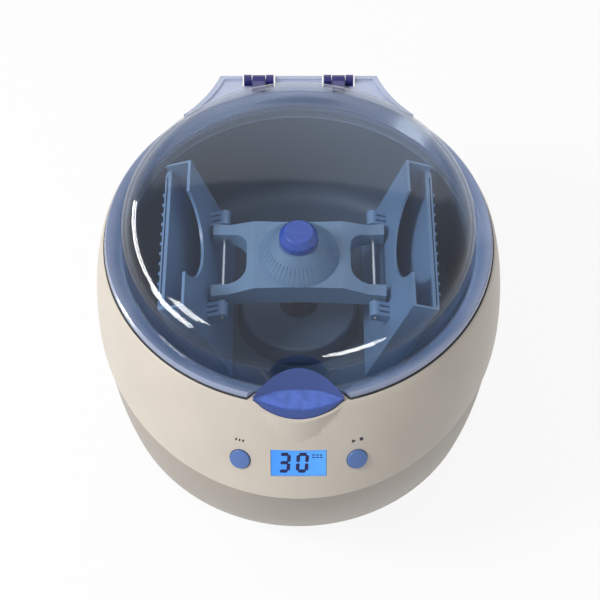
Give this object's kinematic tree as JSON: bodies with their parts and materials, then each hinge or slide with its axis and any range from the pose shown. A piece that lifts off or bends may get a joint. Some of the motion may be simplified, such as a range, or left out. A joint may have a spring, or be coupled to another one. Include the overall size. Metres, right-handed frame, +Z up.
{
  "type": "mini plate centrifuge",
  "caption": "Benchtop centrifuge with a clear flip lid over a swing-out rotor that spins microplates on edge, with keys and a display on a sloping front.",
  "frame": {"origin": "middle of the footprint, on the bench", "axes": "+Z up, control panel towards -Y, lid hinge towards +Y"},
  "size_m": [0.304, 0.334, 0.238],
  "materials": {
    "casing_beige": "satin moulded",
    "base_beige": "satin moulded",
    "chamber_slate": "smooth moulded",
    "lid_clear": "clear blue tint",
    "hinge_navy": "gloss moulded",
    "rotor_blue": "satin moulded",
    "carrier_blue": "satin moulded",
    "knob_blue": "gloss moulded",
    "latch_blue": "satin gloss moulded",
    "key_blue": "satin gloss moulded",
    "display_blue": "clear over a lit display",
    "steel": "ground",
    "sheet_steel": "plated",
    "motor_grey": "satin",
    "black_plastic": "fine texture",
    "board_green": "lacquered board",
    "rubber": "matte"
  },
  "bodies": {
    "casing": {"upper_housing": "casing_beige", "base_shell": "base_beige", "chamber_bowl": "chamber_slate", "hinge_block_left": "hinge_navy", "hinge_block_right": "hinge_navy", "display_window": "display_blue", "hinge_pin_left": "steel", "hinge_pin_right": "steel", "case_screw_1": "steel", "case_screw_2": "steel", "case_screw_3": "steel", "case_screw_4": "steel", "chassis_plate": "sheet_steel", "motor_plate": "sheet_steel", "motor_body": "motor_grey", "lcd_module": "black_plastic", "set_switch": "black_plastic", "run_switch": "black_plastic", "power_socket": "black_plastic", "power_switch_frame": "black_plastic", "lid_switch": "black_plastic", "control_board": "board_green", "foot_1": "rubber", "foot_2": "rubber", "foot_3": "rubber", "foot_4": "rubber", "motor_mount_1": "rubber", "motor_mount_2": "rubber", "motor_mount_3": "rubber", "lid_seal": "rubber", "shaft_seal": "rubber"},
    "lid": {"lid_shell": "lid_clear", "hinge_arm_left": "hinge_navy", "hinge_arm_right": "hinge_navy"},
    "rotor": {"rotor_yoke": "rotor_blue", "drive_shaft": "steel", "hanger_pin_left": "steel", "hanger_pin_right": "steel"},
    "knob": {"rotor_knob": "knob_blue"},
    "left_carrier": {"carrier_left": "carrier_blue"},
    "right_carrier": {"carrier_right": "carrier_blue"},
    "latch": {"latch_button": "latch_blue"},
    "set_key": {"set_button": "key_blue"},
    "run_key": {"run_button": "key_blue"},
    "rocker": {"power_rocker": "black_plastic"}
  },
  "joints": [
    {"name": "lid_hinge", "type": "hinge", "parent": "casing", "child": "lid", "pos_m": [0, 0.163, 0.1975], "axis": [-1, 0, 0], "range_deg": [0, 85]},
    {"name": "rotor_spin", "type": "hinge", "parent": "casing", "child": "rotor", "pos_m": [0, 0.015, 0.157], "axis": [0, 0, 1], "continuous": true},
    {"name": "knob_turn", "type": "hinge", "parent": "rotor", "child": "knob", "pos_m": [0, 0.015, 0.19], "axis": [0, 0, 1], "continuous": true},
    {"name": "left_carrier_swing", "type": "hinge", "parent": "rotor", "child": "left_carrier", "pos_m": [-0.056, 0.015, 0.157], "axis": [0, 1, 0], "range_deg": [0, 18.1]},
    {"name": "right_carrier_swing", "type": "hinge", "parent": "rotor", "child": "right_carrier", "pos_m": [0.056, 0.015, 0.157], "axis": [0, -1, 0], "range_deg": [0, 18.1]},
    {"name": "latch_press", "type": "slide", "parent": "casing", "child": "latch", "axis": [0, 0, -1], "range_m": [0, 0.003], "stiffness_N_per_m": 2500, "springref_m": -0.001},
    {"name": "set_press", "type": "slide", "parent": "casing", "child": "set_key", "axis": [0.2584, 0.8247, -0.5031], "range_m": [0, 0.001], "stiffness_N_per_m": 1500, "springref_m": -0.0003},
    {"name": "run_press", "type": "slide", "parent": "casing", "child": "run_key", "axis": [-0.2584, 0.8247, -0.5031], "range_m": [0, 0.001], "stiffness_N_per_m": 1500, "springref_m": -0.0003},
    {"name": "rocker_tilt", "type": "hinge", "parent": "casing", "child": "rocker", "pos_m": [0.021, 0.151, 0.048], "axis": [-1, 0, 0], "range_deg": [0, 12]}
  ]
}
